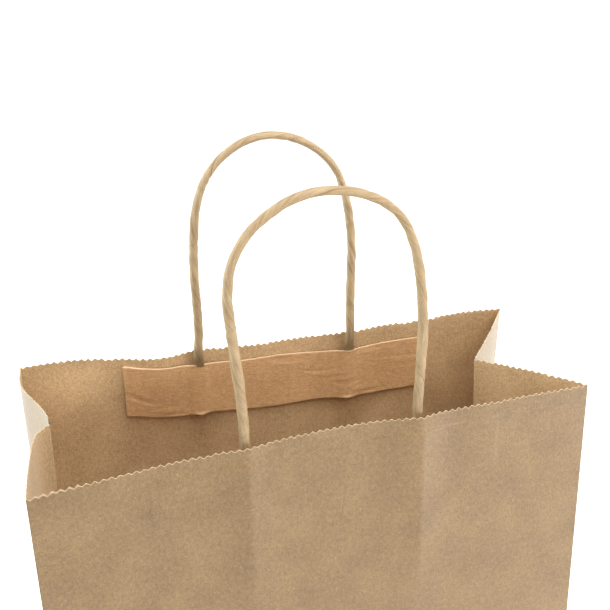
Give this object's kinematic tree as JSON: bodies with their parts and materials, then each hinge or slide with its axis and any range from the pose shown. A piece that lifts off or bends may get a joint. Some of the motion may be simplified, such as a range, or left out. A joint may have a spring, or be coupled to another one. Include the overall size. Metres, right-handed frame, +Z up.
{
  "type": "gift bag",
  "caption": "Brown kraft paper carrier bag with folded-in side gussets, a block bottom, a pinked top edge and twisted paper cord handles glued between patches.",
  "frame": {"origin": "middle of the bag's underside, on the surface that it stands on", "axes": "+X along the width, +Y from the front wall to the back wall, +Z up"},
  "size_m": [0.24, 0.11, 0.4147],
  "materials": {
    "kraft_outside": "natural kraft, uncoated",
    "kraft_inside": "natural kraft, uncoated, rough side",
    "patch_paper": "glued kraft strip, slightly wrinkled",
    "handle_cord": "twisted kraft paper cord"
  },
  "bodies": {
    "root": {"bottom_front_flap": "kraft_outside", "bottom_back_flap": "kraft_outside", "bottom_left_tuck": "kraft_inside", "bottom_right_tuck": "kraft_inside", "left_gusset_foot": "kraft_inside", "right_gusset_foot": "kraft_inside"},
    "front_wall": {"front_panel": "kraft_outside", "side_seam_lap": "kraft_inside", "front_backing_patch": "patch_paper", "front_cover_patch": "patch_paper", "front_handle_left_end": "handle_cord", "front_handle_right_end": "handle_cord"},
    "back_wall": {"back_panel": "kraft_outside", "back_backing_patch": "patch_paper", "back_cover_patch": "patch_paper", "back_handle_left_end": "handle_cord", "back_handle_right_end": "handle_cord"},
    "left_front_gusset": {"left_gusset_front_half": "kraft_inside"},
    "left_back_gusset": {"left_gusset_back_half": "kraft_inside"},
    "right_front_gusset": {"right_gusset_front_half": "kraft_inside"},
    "right_back_gusset": {"right_gusset_back_half": "kraft_inside"},
    "front_handle": {"front_handle_loop": "handle_cord"},
    "back_handle": {"back_handle_loop": "handle_cord"}
  },
  "joints": [
    {"name": "mouth_close", "type": "hinge", "parent": "root", "child": "front_wall", "pos_m": [0, -0.055, 0], "axis": [-1, 0, 0], "range_deg": [0, 4]},
    {"name": "back_wall_lean", "type": "hinge", "parent": "root", "child": "back_wall", "pos_m": [0, 0.055, 0], "axis": [1, 0, 0], "range_deg": [0, 4]},
    {"name": "left_front_gusset_fold", "type": "hinge", "parent": "front_wall", "child": "left_front_gusset", "pos_m": [-0.1196, -0.0543, 0], "axis": [0, -0.0033, -1], "range_deg": [0, 42.96]},
    {"name": "left_back_gusset_fold", "type": "hinge", "parent": "back_wall", "child": "left_back_gusset", "pos_m": [-0.1196, 0.0543, 0], "axis": [0, -0.0033, 1], "range_deg": [0, 42.96]},
    {"name": "right_front_gusset_fold", "type": "hinge", "parent": "front_wall", "child": "right_front_gusset", "pos_m": [0.1196, -0.0543, 0], "axis": [0, 0.0466, 0.9989], "range_deg": [0, 27.36]},
    {"name": "right_back_gusset_fold", "type": "hinge", "parent": "back_wall", "child": "right_back_gusset", "pos_m": [0.1196, 0.0543, 0], "axis": [0, 0.0466, -0.9989], "range_deg": [0, 27.36]},
    {"name": "front_handle_swing", "type": "hinge", "parent": "front_wall", "child": "front_handle", "pos_m": [0, -0.04355, 0.31275], "axis": [0.9984, 0.0564, 0], "range_deg": [-6, 90]},
    {"name": "back_handle_swing", "type": "hinge", "parent": "back_wall", "child": "back_handle", "pos_m": [0, 0.04355, 0.31275], "axis": [-0.9984, 0.0564, 0], "range_deg": [-6, 90]}
  ],
  "couplings": [
    {"joint": "back_wall_lean", "follows": "mouth_close", "ratio": 1},
    {"joint": "left_front_gusset_fold", "follows": "mouth_close", "ratio": 10.74},
    {"joint": "left_back_gusset_fold", "follows": "mouth_close", "ratio": 10.74},
    {"joint": "right_front_gusset_fold", "follows": "mouth_close", "ratio": 6.84},
    {"joint": "right_back_gusset_fold", "follows": "mouth_close", "ratio": 6.84}
  ]
}
